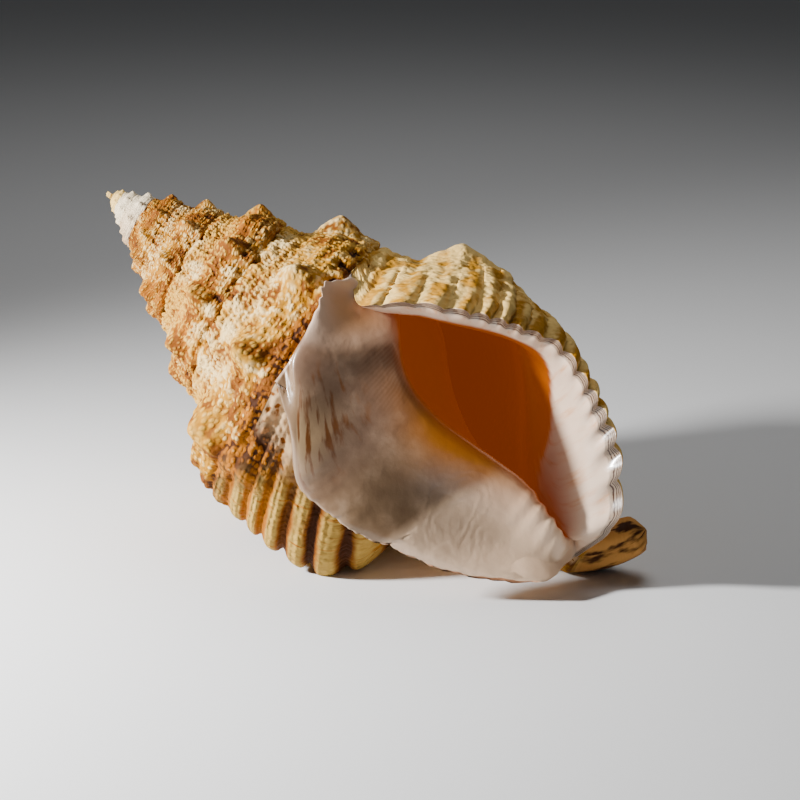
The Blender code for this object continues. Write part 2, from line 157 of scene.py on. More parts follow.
def settle(points):
    """Lays the points down, wears flat what is under the ground and keeps the rest in the part's box."""
    laid = lay_down(points) + GROUND
    return np.clip(laid, packed_box[0], packed_box[1])


# Sculpture of the outside. The living mantle laid beads along spiral cords, knobs on the shoulder at even
# steps of growth, and a thick old lip, the varix, each time it rested.
GRAINS = 125
GRAIN_GROWTH = 1.25
GRAIN_ROWS = 2.4
CORD_HEIGHT = 0.007
GRAIN_HEIGHT = 0.012
KNOBS = [(0.00, 1.2), (0.18, 1.0), (0.293, 1.15), (0.40, 0.9), (0.51, 0.8), (0.621, 1.4), (0.73, 0.8),
         (0.83, 0.75), (0.92, 0.7)]
KNOB_ROWS = [
    (3.6, 0, 0.080, 0.0130, 0.78, 0.45),
    (6.5, 0, 0.050, 0.0120, 0.80, 0.90),
    (8.5, 0, 0.014, 0.0100, 0.50, 0.50),
    (8.5, 0.055, 0.014, 0.0100, 0.50, 0.50),
]
KNOBS_FADE = (-0.3, 0.0)
VARIX_TURN = -0.53
VARIX_SPACING = 0.68
VARIX_COUNT = 7
VARIX_HEIGHT = [(0, 0), (1, 0), (3.5, 0.085), (5.5, 0.075), (7.5, 0.12), (9, 0.175), (10.4, 0.225),
                (11.3, 0.18), (12, 0.06), (12.8, 0), (18, 0)]
VARIX_FADE = 0.85
VARIX_RISE = 0.055
VARIX_DROP = 0.018
HIGH_VARIX = 0.2
HIGH_KNOB = 0.08
RIB_DEPTH = 0.15
PITS = 27
PIT_DEPTH = 0.024
LUMP_HEIGHT = 0.020
SWELL = 0.004
WRINKLE = 0.002
GROWN = (-5.4, -4.2)
YOUNG = (-0.9, -1.6)


def grains(a, b):
    """Rounded grains, one in each cell of a grid: the largest, over the nine nearest cells, of one minus the
    square of the distance from the grain's middle in its own radius. Middles, radii and heights are scattered
    by the fraction of a large sine of the cell's numbers."""
    highest = np.zeros(np.broadcast(a, b).shape)
    for i in (-1, 0, 1):
        for j in (-1, 0, 1):
            column, row = np.floor(a) + i, np.floor(b) + j
            one = np.abs(np.sin(column * 12.9898 + row * 78.233) * 4375.85) % 1
            other = np.abs(np.sin(column * 39.346 + row * 11.135) * 2463.46) % 1
            away = (a - column - 0.25 - 0.5 * one) ** 2 + (b - row - 0.25 - 0.5 * other) ** 2
            radius = 0.42 + 0.30 * ((7.3 * one + other) % 1)
            dome = np.clip(1 - away / radius**2, 0, 1) ** 0.8
            highest = np.maximum(highest, dome * (0.45 + 0.55 * ((one + 3.7 * other) % 1)))
    return highest


def knob_relief(turn, across):
    """Rows of knobs: a bell along the turn times a bell across it, at even steps, of uneven size."""
    relief = np.zeros_like(turn)
    for cord, shift, height, width, length, loss in KNOB_ROWS:
        kept = 1 - loss * ramp(turn, *KNOBS_FADE)
        crosswise = (across / CORD_STEP - cord) / length
        for place, size in KNOBS:
            sideways = ((turn - place - shift + 0.5) % 1 - 0.5) / width
            relief += height * size * kept * np.exp(-0.5 * (sideways**2 + crosswise**2))
    return relief


def varix_relief(turn, across):
    """Old lips: a one-sided bell, wide before the lip and narrow behind it, times a height for each cord."""
    relief = np.zeros_like(turn)
    for number in range(VARIX_COUNT):
        past = turn - (VARIX_TURN - VARIX_SPACING * number)
        width = np.where(past < 0, VARIX_RISE, VARIX_DROP)
        relief += np.exp(-0.5 * (past / width) ** 2) * VARIX_FADE ** number
    return relief * np.clip(curve_through(VARIX_HEIGHT, across / CORD_STEP)[..., 0], 0, None)


def sculpture(turn, across):
    """Height of the sculpture, in multiples of the size, and its marks. Cords are raised cosines across the
    turn, beads are grains in a grid whose columns grow with the shell, and pits and lumps are bells at even
    steps beside the suture."""
    turn, across = np.broadcast_arrays(np.asarray(turn, float), np.asarray(across, float))
    cord = across / CORD_STEP
    grown = ramp(turn, *GROWN)
    knobs = knob_relief(turn, across)
    varix = varix_relief(turn, across)
    cords = 0.5 - 0.5 * np.cos(2 * math.pi * cord)
    grain = GRAINS * GRAIN_GROWTH**turn / math.log(GRAIN_GROWTH)
    beads = grains(grain + 0.8 * ripple(turn * 17, cord * 0.7),
                   cord * GRAIN_ROWS + 0.3 * ripple(turn * 29, cord))
    place = turn * PITS + 0.4 * ripple(turn * 13, cord * 0.2)
    pits = bell(place - np.round(place), 0, 0.16) * (bell(cord, 5.35, 0.32) + bell(cord, 0.35, 0.22))
    pits = pits * np.clip(0.5 + 1.6 * ripple(turn * 31, 1.0 + 0 * cord), 0, 1)
    lumps = bell((turn * PITS + 0.5) % 1, 0.5, 0.2) * (bell(cord, 5.3, 0.45) + 0.6 * bell(cord, 0.8, 0.5))
    ribs = -RIB_DEPTH * varix * (1 - cords) ** 4
    young = ramp(turn, *YOUNG)
    smooth = np.clip(1 - 0.8 * varix / HIGH_VARIX - 0.7 * knobs / HIGH_KNOB, 0.12, 1)
    smooth = smooth * (1 - 0.6 * ramp(cord, 7, 10)) * (1 - 0.4 * ramp(turn, -0.16, 0.0))
    grained = GRAIN_HEIGHT * (1 + 0.5 * young) * (beads - 0.4) * smooth
    height = (knobs + varix + ribs + CORD_HEIGHT * cords * (0.4 + 0.6 * grown)
              + grown * (grained + LUMP_HEIGHT * lumps - PIT_DEPTH * pits)
              + SWELL * ripple(turn * 23, cord * 0.9) + WRINKLE * ripple(turn * 130, cord * 0.6))
    marks = {"beads": beads * grown * smooth, "knobs": knobs / HIGH_KNOB, "varix": varix / HIGH_VARIX,
             "pits": pits * grown, "lumps": lumps * grown, "grain": grain + 0 * cord}
    return height, marks


# Outer lip and shield. The lip is the thin growing edge, with a lobe for each cord; the shield is the glaze
# that the mantle laid over the last turn. Rows are share of the way from notch to canal, then x, y, z in mm.
LIP_MARGIN = [
    (0.04, 24, -42.5, -99.5), (0.10, 28, -48, -107), (0.16, 35, -50, -115), (0.24, 41, -51, -125.5),
    (0.33, 47, -49, -136.5), (0.43, 51.5, -46, -148), (0.54, 55, -41.5, -160), (0.65, 52, -38, -172),
    (0.745, 47.5, -34, -183.5), (0.83, 41, -30, -195), (0.90, 31, -26, -204), (0.95, 21, -21.5, -209.5),
]
LIP_FACE = [
    (0.04, 24.5, -39, -102.5), (0.10, 28.5, -43.5, -110), (0.16, 33.5, -45, -117), (0.24, 38, -45, -126.5),
    (0.33, 43.5, -43, -137.5), (0.43, 47.5, -39, -148), (0.54, 49.5, -34, -158.5), (0.65, 45.5, -30, -171),
    (0.745, 38, -26.5, -181.5), (0.83, 30, -24, -191), (0.90, 21, -21, -199), (0.95, 13, -19, -203.5),
]
LIP_THROAT = [
    (0.04, 29, -33.5, -110), (0.10, 30.5, -36.5, -113), (0.16, 33.5, -37.5, -118), (0.24, 38, -36, -127),
    (0.33, 43.5, -32.5, -138), (0.43, 47, -28, -147.5), (0.54, 45.5, -22, -157.5), (0.65, 38, -17.5, -167),
    (0.745, 29, -15, -176), (0.83, 20.5, -14.5, -185), (0.90, 13.5, -14.5, -193), (0.95, 9, -14.5, -199),
]
SHIELD_EDGE = [
    (0.02, 29.5, -35, -93), (0.04, 26.5, -39.5, -91), (0.06, 22.5, -43.5, -88), (0.09, 16, -47, -91.5),
    (0.12, 5, -50.5, -95.5), (0.16, -4, -51.5, -98.1), (0.20, -11, -51.5, -105), (0.24, -19, -50, -111),
    (0.28, -26.5, -47.5, -117.2), (0.31, -31.5, -45, -121.5), (0.34, -34, -43.5, -125),
    (0.42, -34.5, -42, -138.1), (0.52, -33.5, -40, -150.2), (0.62, -30, -37.5, -163.7),
    (0.72, -26, -35, -178.7), (0.80, -19.5, -32.5, -190.7), (0.88, -11, -28.5, -200.1),
    (0.94, -3.5, -23, -204.2),
]
SHIELD_MIDDLE = [
    (0.06, 24, -39.5, -95.5), (0.12, 9, -48, -105.6), (0.19, 1.5, -47.5, -113.3), (0.27, -5, -45.5, -123.2),
    (0.35, -10, -42.5, -133), (0.45, -12, -38, -146.4), (0.55, -10, -33, -159.2), (0.65, -7.5, -28, -172.2),
    (0.75, -5, -24.5, -183.4), (0.85, -2.5, -22.5, -195.4), (0.93, 0.5, -19.5, -201.7),
]
SHIELD_RIDGE = [
    (0.05, 28.5, -35.5, -112), (0.12, 23, -38.5, -118), (0.19, 17, -40.5, -124.5), (0.27, 13, -41, -132),
    (0.37, 11, -39, -143), (0.50, 11.5, -35, -156), (0.60, 12.5, -31, -167.5), (0.70, 13, -28, -178),
    (0.80, 10, -24.5, -188.5), (0.88, 8, -21.5, -196), (0.95, 6, -17, -201),
]
SHIELD_INSIDE = [
    (0.12, 21, -33.5, -115.5), (0.27, 13.5, -28.5, -133), (0.50, 11, -21, -156), (0.70, 10, -15.5, -177.5),
    (0.88, 7.5, -13.5, -194),
]
NOTCH_PATH = [(28.5, -31.5, -95), (29, -33, -103), (30, -31, -110), (36, -24, -107)]
CANAL_PATH = [(0.7, -0.3, 1), (2.7, 0, 3), (4.2, 1.2, 5), (6.2, 4, 7)]
FLARE_TURNS = 0.13
FLARE_POWER = 1.3
LIP_ROUND = 0.25
LOBES = 18
LOBE = 3.2 * MM
RUFFLE = 1.6 * MM
TEETH = [(0.74, 0.9), (0.79, 1.5), (0.84, 1.6), (0.89, 1.3), (0.93, 0.9)]
TOOTH_WIDTH = 0.012
TEETH_OUT = np.array([0.75, -0.66, 0.0])
EAR_TOOTH = 0.7 * MM
EAR_PITCH = 0.014
EAR_TOP = 0.075
EAR_WIDTH = 0.018
EAR_OUT = np.array([0.3, -0.2, 0.95])
HOLLOW_TOP = (0.385, 0.885)
HOLLOW_FOOT = (0.08, 1.58)
HOLLOW_OUTER = [(0.12, 0.425, 0.95), (0.25, 0.475, 1.04), (0.40, 0.48, 1.15), (0.55, 0.43, 1.27),
                (0.72, 0.32, 1.39), (0.88, 0.18, 1.50)]
HOLLOW_INNER = [(0.12, 0.37, 0.96), (0.28, 0.30, 1.09), (0.45, 0.20, 1.21), (0.62, 0.13, 1.33),
                (0.80, 0.09, 1.46)]
HOLLOW_STEPS = [0.08, 0.16, 0.28, 0.42, 0.56]
EAR_TURNS = 1 / 6
EDGE_WEAR = 0.7 * MM
WORN_FROM = (0.28, 0.34)
CHIP_DEPTH = 2 * MM
CHIP_SHARE = 0.585
CHIP_WIDTH = 0.006
EDGE_OUT = np.array([0.7, 0, 0.7])
EAR_SHARE = 0.24
SHIELD_BEND = 1.2
SHIELD_START = 0.3
SHIELD_HOLD = 0.03
LIP_FADE = 0.03
SUTURE_FADE = 0.02
BASE_FADE = 0.70


def with_ends(rows, level=0):
    """Adds the notch and the canal, the two ends where the lip meets the shield, at that level of the mouth."""
    notch = plain_body(LIP_TURN, 0.0)
    canal = plain_body(LIP_TURN, MOUTH_END)
    if level > 0:
        notch = np.array(NOTCH_PATH[level - 1]) * MM
        canal = canal + np.array(CANAL_PATH[level - 1]) * MM
    middle = [(row[0],) + tuple(value * MM for value in row[1:]) for row in rows]
    return [(0.0,) + tuple(notch)] + middle + [(1.0,) + tuple(canal)]


def lip_margin(share):
    """Margin of the lip: the curve through its rows, pushed outwards by the absolute value of a sine, a lobe
    for each cord, and let in between the lobes."""
    margin = curve_through(with_ends(LIP_MARGIN), share)
    away = margin - curve_through(with_ends(LIP_FACE, 2), share)
    away = away / np.maximum(np.linalg.norm(away, axis=-1, keepdims=True), 1e-5)
    place = LOBES * share + 0.25 * np.sin(17 * share)
    lobes = np.abs(np.sin(math.pi * place)) ** 0.6 - 0.75
    fade = ramp(share, 0.03, 0.10) * (1 - ramp(share, 0.93, 0.99)) * (0.8 + 0.2 * ramp(share, 0.1, 0.5))
    ruffle = np.sin(2 * math.pi * place) * fade
    return (margin + (LOBE * lobes * fade)[..., None] * away
            + (RUFFLE * ruffle)[..., None] * np.array([0, 1, 0.14]))


def body(turn, across):
    """Plain body, whose last part is drawn out to the lip's margin by a smooth step of the turn."""
    turn, across = np.broadcast_arrays(np.asarray(turn, float), np.asarray(across, float))
    flare = ramp(turn, LIP_TURN - FLARE_TURNS, LIP_TURN) ** FLARE_POWER
    share = np.clip(across / MOUTH_END, 0, 1)
    pull = lip_margin(share) - plain_body(LIP_TURN, across)
    pull = np.where((across <= MOUTH_END)[..., None], pull, 0)
    return plain_body(turn, across) + flare[..., None] * pull


def outward(turn, across):
    """Unit normals: the cross product of central differences along the turn and across it."""
    small = 1e-4
    along = body(turn + small, across) - body(turn - small, across)
    down = body(turn, across + small) - body(turn, across - small)
    normal = np.cross(along, down)
    return normal / np.linalg.norm(normal, axis=-1, keepdims=True)


def outside(turn, across):
    """Body plus sculpture along its normal, and the sculpture's marks. It fades at the lip, suture and base."""
    turn, across = np.broadcast_arrays(np.asarray(turn, float), np.asarray(across, float))
    height, marks = sculpture(turn, across)
    edge = 1 - ramp(turn, LIP_TURN - LIP_FADE, LIP_TURN)
    ends = ramp(across, 0, SUTURE_FADE) * (1 - ramp(across, BASE_FADE, MOUTH_END))
    lift = height * size_at(turn) * edge * ends
    return body(turn, across) + lift[..., None] * outward(turn, across), marks


def add_mesh(name, points, quads, triangles, marks):
    """Mesh of quads and triangles with one float attribute per mark."""
    mesh = bpy.data.meshes.new(name)
    mesh.from_pydata(points.tolist(), [], quads.tolist() + triangles.tolist())
    for key, values in marks.items():
        attribute = mesh.attributes.new(key, "FLOAT", "POINT")
        attribute.data.foreach_set("value", np.asarray(values, np.float32).ravel())
    mesh.shade_smooth()
    piece = bpy.data.objects.new(name, mesh)
    bpy.context.scene.collection.objects.link(piece)
    return piece


def quads_between(lower, upper):
    """Quads between rows of indices: i and i+1 of the lower row, then i+1 and i of the upper."""
    return np.stack([lower[..., :-1], lower[..., 1:], upper[..., 1:], upper[..., :-1]], -1).reshape(-1, 4)


# The spire, six turns of the tube, each lapped by the next. Its last end runs on under the last turn.
COLUMNS_AT = [(-7.6, 44), (-5.5, 60), (-4.4, 180), (-3.4, 290), (-2.4, 400), (-1.4, 490), (-0.8, 500)]
OUTSIDE_ROWS = 54
SAMPLES = 4001
ABOVE_SUTURE = 0.012
LAP = 0.035
LAP_FADE = 0.03
SINK = 0.06
FILLED_TIP = (-6.4, -5.4)
TIP_ROUND = (-0.6, 0.5)
TUBE_INSIDE = [(1.10, 0.44), (1.06, 0.36), (1.02, 0.29), (0.98, 0.24), (0.94, 0.20), (0.88, 0.21),
               (0.82, 0.27), (0.78, 0.33)]
TUCK = 0.03


def spire_points():
    """Rings of the tube: the outside from just above the suture to just below the next one, then back through
    rows of (drop, radius) times the size near the axis. Ring spacing follows the wanted columns per turn. At
    the tip the inside closes on the axis and the rings shrink to a point by a smooth step."""
    fine = np.linspace(LIP_TURN - TURNS, LIP_TURN - 1 + TUCK, SAMPLES)
    density = np.interp(fine, *zip(*COLUMNS_AT))
    along = np.concatenate([[0], np.cumsum(0.5 * (density[1:] + density[:-1]) * np.diff(fine))])
    turn = np.interp(np.arange(int(along[-1])), along, fine)[:, None]
    across = np.linspace(-ABOVE_SUTURE, NEXT_SUTURE + LAP, OUTSIDE_ROWS)[None, :]
    skin, marks = outside(turn, across)
    fade = 1 - ramp(across, NEXT_SUTURE, NEXT_SUTURE + LAP_FADE)
    skin = body(turn, across) + fade[..., None] * (skin - body(turn, across))
    axis = skin * np.array([0, 0, 1])
    sink = 1 - SINK * ramp(turn, LIP_TURN - 1, LIP_TURN - 1 + TUCK)
    skin = axis + (skin - axis) * sink[..., None]
    drop, radius = np.array(TUBE_INSIDE).T
    angle = LIP_ANGLE - 2 * math.pi * (turn - LIP_TURN)
    size = size_at(turn)
    radius = radius * ramp(turn, *FILLED_TIP)
    inside = np.stack([radius * size * np.cos(angle), radius * size * np.sin(angle), -drop * size], -1)
    rings = np.concatenate([skin, inside], axis=1)
    small = ramp(turn, turn[0, 0] + TIP_ROUND[0], turn[0, 0] + TIP_ROUND[1])
    rings = rings * small[..., None]
    hidden = np.zeros((len(turn), len(drop)))
    marks = {key: np.concatenate([np.broadcast_to(value, (len(turn), OUTSIDE_ROWS)), hidden], axis=1)
             for key, value in marks.items()}
    cord = np.concatenate([across[0] / CORD_STEP, np.full(len(drop), float(SPIRE_CORDS))])
    marks["turn"] = np.broadcast_to(turn, rings.shape[:2])
    marks["cord"] = np.broadcast_to(cord, rings.shape[:2])
    return rings, marks


rings, marks = spire_points()
count, around = rings.shape[:2]
index = np.arange(count * around).reshape(count, around)
index = np.concatenate([index, index[:, :1]], axis=1)
quads = quads_between(index[1:], index[:-1])
ends = [count * around, count * around + 1]
fans = [np.stack([index[0, :-1], index[0, 1:], np.full(around, ends[0])], -1),
        np.stack([index[-1, 1:], index[-1, :-1], np.full(around, ends[1])], -1)]
points = np.vstack([rings.reshape(-1, 3), rings[0].mean(axis=0), rings[-1].mean(axis=0)])
points = settle(points)
marks = {key: np.append(value.ravel(), [value[0].mean(), value[-1].mean()]) for key, value in marks.items()}
spire = add_mesh("spire", points, quads, np.vstack(fans), marks)


# The last turn with the lip, the shield, the mouth and the canal: one closed skin, from the suture out over
# the back to the lip's edge and on into the hollow, which ends half a turn back.
LAST_COLUMNS = 516
ROWS_PER_CORD = 11
CANAL_ROWS = 14
CANAL_LENGTH = 21 * MM
CANAL_START = math.radians(40)
CANAL_CURL = math.radians(35)
CANAL_ROUND = 0.2
HOLD_LEAVES = 0.25
HOLD_RETURNS = 0.8
CANAL_RIDGES = 5
CANAL_RIDGE = 0.07
GLAZE_TURNS = 0.10
CLOSING_DROP = 0.80
LEVELS_AT = [0, 0.12, 0.3, 0.5, 0.7, 0.88, 1, 1.1, 1.22, 1.36, 1.5, 1.64, 1.78, 1.92, 2.06, 2.2, 2.35, 2.5,
             2.65, 2.8, 2.95, 3.1, 3.25, 3.4, 3.55, 3.7, 3.85, 4, 4.25, 4.5, 4.75, 5, 5.5, 6, 6.5, 7, 7.5, 8,
             8.5, 9]
MARKS = ("beads", "knobs", "varix", "pits", "lumps", "grain", "turn", "cord", "glaze", "canal",
         "level", "share", "lip", "deep", "amber", "trough", "blue", "thin")
DEEP_LIP = [(0, 2.6), (0.12, 2.5), (0.30, 2.2), (0.50, 2.1), (0.636, 2.8), (0.70, 3.0), (0.86, 4.2), (1, 4.6)]
DEEP_SHIELD = [(0, 2.9), (0.14, 2.95), (0.275, 3.1), (0.43, 3.0), (0.61, 3.0), (0.70, 2.9), (0.80, 3.0),
               (1, 4.0)]


def mouth_marks(level, share, lip):
    """Where the colours of the mouth lie: the throat begins at a level that changes along the lip and the
    shield, with an amber band before it on the shield, and bells of level and share place the rest."""
    on_lip, on_shield = (curve_through(rows, share)[..., 0] for rows in (DEEP_LIP, DEEP_SHIELD))
    start = np.where(lip > 0.5, on_lip, on_shield)
    spread = np.where(lip > 0.5, 0.12, 0.25)
    deep = ramp(level, start - spread, start + spread)
    amber = (1 - lip) * bell(level, start - 0.15, 0.30) * bell(share, 0.48, 0.16)
    trough = (1 - lip) * bell(share, 0.080, 0.024) * bell(level, 2.2, 0.55)
    blue = (1 - lip) * bell(share, 0.53, 0.035) * bell(level, 2.2, 0.22)
    thin = (1 - lip) * bell(share, 0.262, 0.035) * ramp(level, 2.1, 1.1)
    return {"deep": deep, "amber": amber, "trough": trough, "blue": blue, "thin": thin}


def canal_end(angle, share):
    """Curled tube below the mouth: circles of the outline's radius carried along an arc, rounded at the tip by
    the square root of one minus a square."""
    across = MOUTH_END + share * (1 - MOUTH_END)
    radius = curve_through(OUTLINE, SUTURE_DROP + DROP_RANGE * across)[..., 0] * size_at(LIP_TURN)
    rounding = np.clip(share - 1 + CANAL_ROUND, 0, 1) / CANAL_ROUND
    radius = radius * np.sqrt(np.clip(1 - rounding**2, 0.02, 1))
    side = np.array([math.cos(CANAL_SIDE), math.sin(CANAL_SIDE), 0])
    cross = np.array([-math.sin(CANAL_SIDE), math.cos(CANAL_SIDE), 0])
    down = np.array([0, 0, -1])
    start = CANAL_LEAN * side - plain_body(LIP_TURN, MOUTH_END)[2] * down
    reach = CANAL_LENGTH / CANAL_CURL
    curl = CANAL_START + CANAL_CURL * share
    sideways = reach * (math.cos(CANAL_START) - np.cos(curl))
    downwards = reach * (np.sin(curl) - math.sin(CANAL_START))
    centre = start + sideways[..., None] * side + downwards[..., None] * down
    tilt = (CANAL_START + CANAL_CURL) * share
    tilted = np.cos(tilt)[..., None] * side - np.sin(tilt)[..., None] * down
    ridges = 1 + CANAL_RIDGE * np.sin(CANAL_RIDGES * angle + 2) * np.sin(math.pi * share)
    return (centre + (ridges * radius * np.cos(angle - CANAL_SIDE))[..., None] * tilted
            + (ridges * radius * np.sin(angle - CANAL_SIDE))[..., None] * cross)


def shield_share(down):
    """Share of the shield's edge at a share of the way down, after the ear: a line mixed with a power curve."""
    return EAR_SHARE + (1 - EAR_SHARE) * down * (SHIELD_START + (1 - SHIELD_START) * down**SHIELD_BEND)


def hold_turn(down):
    """Turn at which the body meets the shield: the angle of the shield's edge, turned back into turns, less a
    margin, and blended to the ear's end above and to the canal below by smooth steps."""
    across = NEXT_SUTURE + (MOUTH_END - NEXT_SUTURE) * down
    edge = curve_through(with_ends(SHIELD_EDGE), shield_share(down))
    lean = CANAL_LEAN * late(across, GATHER_FROM, 3)
    angle = np.arctan2(edge[..., 1] - lean * math.sin(CANAL_SIDE), edge[..., 0] - lean * math.cos(CANAL_SIDE))
    past = (LIP_ANGLE - SWEEP * late(across, SWEEP_FROM, 3) - angle) / (2 * math.pi)
    settled = ramp(down, 0, HOLD_LEAVES)
    inside = (past - SHIELD_HOLD) * settled + EAR_TURNS * (1 - settled)
    return LIP_TURN - 1 + inside * (1 - ramp(down, HOLD_RETURNS, 1))


def hollow(back, wall, share):
    """Wall of the hollow: rows of (share, radius, drop) times the size, turned back from the lip."""
    turn = LIP_TURN - back
    ends = [(0.0,) + HOLLOW_TOP] + wall + [(1.0,) + HOLLOW_FOOT]
    radius, drop = np.moveaxis(curve_through(ends, share), -1, 0)
    angle = LIP_ANGLE + 2 * math.pi * back
    size = size_at(turn)
    return np.stack([radius * size * math.cos(angle), radius * size * math.sin(angle), -drop * size], axis=-1)


def join_loop(lip, shield):
    """One closed loop: down the lip from the notch, then back up the shield, meeting halfway at both ends."""
    lip[0] = 0.5 * (lip[0] + shield[0])
    lip[-1] = 0.5 * (lip[-1] + shield[-1])
    return np.vstack([lip, shield[::-1][1:-1]])


def ear_teeth(share):
    """Small teeth along the ear's top: a sine of the share under a bell, in metres."""
    return EAR_TOOTH * np.sin(2 * math.pi * share / EAR_PITCH) * bell(share, EAR_TOP, EAR_WIDTH)


def columella_teeth(share):
    """How far the shield's ridge leans over the canal slit: a narrow bell for each tooth, in metres."""
    return sum(height * MM * bell(share, place, TOOTH_WIDTH) for place, height in TEETH)


def mouth_loops(lip_share, share, lip_edge, hold):
    """Key loops from the free edge into the hollow: the edge, the rim, the face, the throat and steps back."""
    margin = lip_margin(lip_share)
    face = curve_through(with_ends(LIP_FACE, 2), lip_share)
    throat = curve_through(with_ends(LIP_THROAT, 3), lip_share)
    inner = hollow(HOLLOW_STEPS[0], HOLLOW_OUTER, lip_share)
    lip = [lip_edge, margin + LIP_ROUND * (face - margin), face, throat, 0.5 * (throat + inner)]
    shield = [hold] + [curve_through(with_ends(rows, level + 1), share) for level, rows in
                       enumerate((SHIELD_EDGE, SHIELD_MIDDLE, SHIELD_RIDGE, SHIELD_INSIDE))]
    shield[1] = shield[1] + ear_teeth(share)[:, None] * EAR_OUT
    worn = EDGE_WEAR * ripple(share * 140, 2.0 + 0 * share) * ramp(share, *WORN_FROM)
    chip = CHIP_DEPTH * bell(share, CHIP_SHARE, CHIP_WIDTH)
    shield[1] = shield[1] + (worn + chip)[:, None] * EDGE_OUT
    shield[3] = shield[3] + columella_teeth(share)[:, None] * TEETH_OUT
    loops = [join_loop(one, other) for one, other in zip(lip, shield)]
    for back in HOLLOW_STEPS:
        loops.append(join_loop(hollow(back, HOLLOW_OUTER, lip_share), hollow(back, HOLLOW_INNER, share)))
    return np.array(loops)


def last_turn_mesh():
    """Grids of the upper part, the lower part, the canal and the mouth, joined by shared rows of indices."""
    upper_rows = SPIRE_CORDS * ROWS_PER_CORD
    lower_rows = (CORDS - SPIRE_CORDS) * ROWS_PER_CORD
    parts, notes, faces, triangles = [], [], [], []

    def add(points, marks, **more):
        start = sum(len(part) for part in parts)
        shape = points.shape[:-1]
        parts.append(points.reshape(-1, 3))
        notes.append([np.broadcast_to({**marks, **more}.get(key, 0.0), shape).ravel() for key in MARKS])
        return np.arange(start, start + len(parts[-1])).reshape(shape)

    turn = (LIP_TURN - 1 + np.arange(LAST_COLUMNS + 1) / LAST_COLUMNS)[:, None]
    across = np.linspace(0, NEXT_SUTURE, upper_rows + 1)[None, :]
    skin, marks = outside(turn, across)
    upper = add(skin, marks, turn=turn, cord=across / CORD_STEP)
    upper[0, -1] = upper[-1, 0]
    faces.append(quads_between(upper[1:], upper[:-1]))
    ear = round(EAR_TURNS * LAST_COLUMNS)
    down = np.arange(lower_rows + 1) / lower_rows
    low_across = NEXT_SUTURE + (MOUTH_END - NEXT_SUTURE) * down
    start = hold_turn(down)[1:, None]
    wide = LAST_COLUMNS - ear + 1
    turn = start + (LIP_TURN - start) * np.arange(wide) / (wide - 1)
    skin, marks = outside(turn, low_across[1:, None])
    glaze = 1 - ramp(turn - start, 0.0, GLAZE_TURNS)
    lower = add(skin, marks, turn=turn, cord=low_across[1:, None] / CORD_STEP, glaze=glaze)
    lower[-1, -1] = lower[-1, 0]
    lower = np.vstack([upper[ear:, -1][None], lower])
    faces.append(quads_between(lower[:-1], lower[1:]))

    around = wide - 1
    angle = (LIP_ANGLE - SWEEP - 2 * math.pi * np.arange(around) / around)[None, :]
    share = (np.arange(1, CANAL_ROWS + 1) / CANAL_ROWS)[:, None]
    tube = add(canal_end(angle, np.broadcast_to(share, (CANAL_ROWS, around))), {}, canal=share,
               turn=LIP_TURN - angle / (2 * math.pi), cord=CORDS + 3 * share)
    tube = np.vstack([lower[-1, :-1][None], tube])
    tube = np.hstack([tube, tube[:, :1]])
    faces.append(quads_between(tube[:-1], tube[1:]))
    every = np.vstack(parts)
    tip = add(every[tube[-1, :-1]].mean(axis=0)[None], {}, canal=1.0)
    triangles.append(np.stack([tube[-1, :-1], tube[-1, 1:], np.full(around, tip[0])], -1))

    lip_side = np.concatenate([upper[-1, :-1], lower[:, -1]])
    hold_side = np.concatenate([upper[:ear, -1], lower[:, 0]])
    edge = np.concatenate([lip_side, hold_side[::-1][1:-1]])
    lip_share = np.concatenate([across[0, :-1], low_across]) / MOUTH_END
    ear_share = EAR_SHARE * np.arange(ear) / ear
    share = np.concatenate([ear_share, shield_share(down)])
    keys = mouth_loops(lip_share, share, every[lip_side], every[hold_side])
    rows = [(knot,) + tuple(loop.reshape(-1)) for knot, loop in enumerate(keys)]
    level = np.array(LEVELS_AT[1:])
    mouth = curve_through(rows, level).reshape(len(level), -1, 3)
    shares = np.concatenate([lip_share, share[::-1][1:-1]])[None, :]
    is_lip = (np.arange(mouth.shape[1]) < len(lip_share)).astype(float)[None, :]
    loft = add(mouth, mouth_marks(level[:, None], shares, is_lip), level=level[:, None], share=shares,
               lip=is_lip, glaze=1.0)
    skin_faces = sum(len(part) for part in faces)
    loft = np.vstack([edge[None], loft])
    loft = np.hstack([loft, loft[:, :1]])
    faces.append(quads_between(loft[1:], loft[:-1]))
    every = np.vstack(parts)
    end = add(every[loft[-1, :-1]].mean(axis=0)[None], {}, level=LEVELS_AT[-1], glaze=1.0, deep=1.0)
    triangles.append(np.stack([loft[-1, 1:], loft[-1, :-1], np.full(loft.shape[1] - 1, end[0])], -1))

    seam = np.concatenate([upper[::-1, 0], upper[0, 1:]])
    top = add(np.array([[0, 0, -CLOSING_DROP * size_at(LIP_TURN - 1)]]), {})
    triangles.append(np.stack([seam[1:], seam[:-1], np.full(len(seam) - 1, top[0])], -1))
    marks = {key: np.concatenate([note[i] for note in notes]) for i, key in enumerate(MARKS)}
    in_mouth = np.zeros(sum(len(part) for part in faces) + sum(len(part) for part in triangles), int)
    in_mouth[skin_faces:sum(len(part) for part in faces)] = 1
    in_mouth[sum(len(part) for part in faces) + len(triangles[0]):][:len(triangles[1])] = 1
    return np.vstack(parts), np.vstack(faces), np.vstack(triangles), marks, in_mouth


points, quads, triangles, marks, in_mouth = last_turn_mesh()
points = settle(points)
last_turn = add_mesh("last_turn", points, quads, triangles, marks)
for piece in (spire, last_turn):
    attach(piece, "root")
    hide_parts("shell")


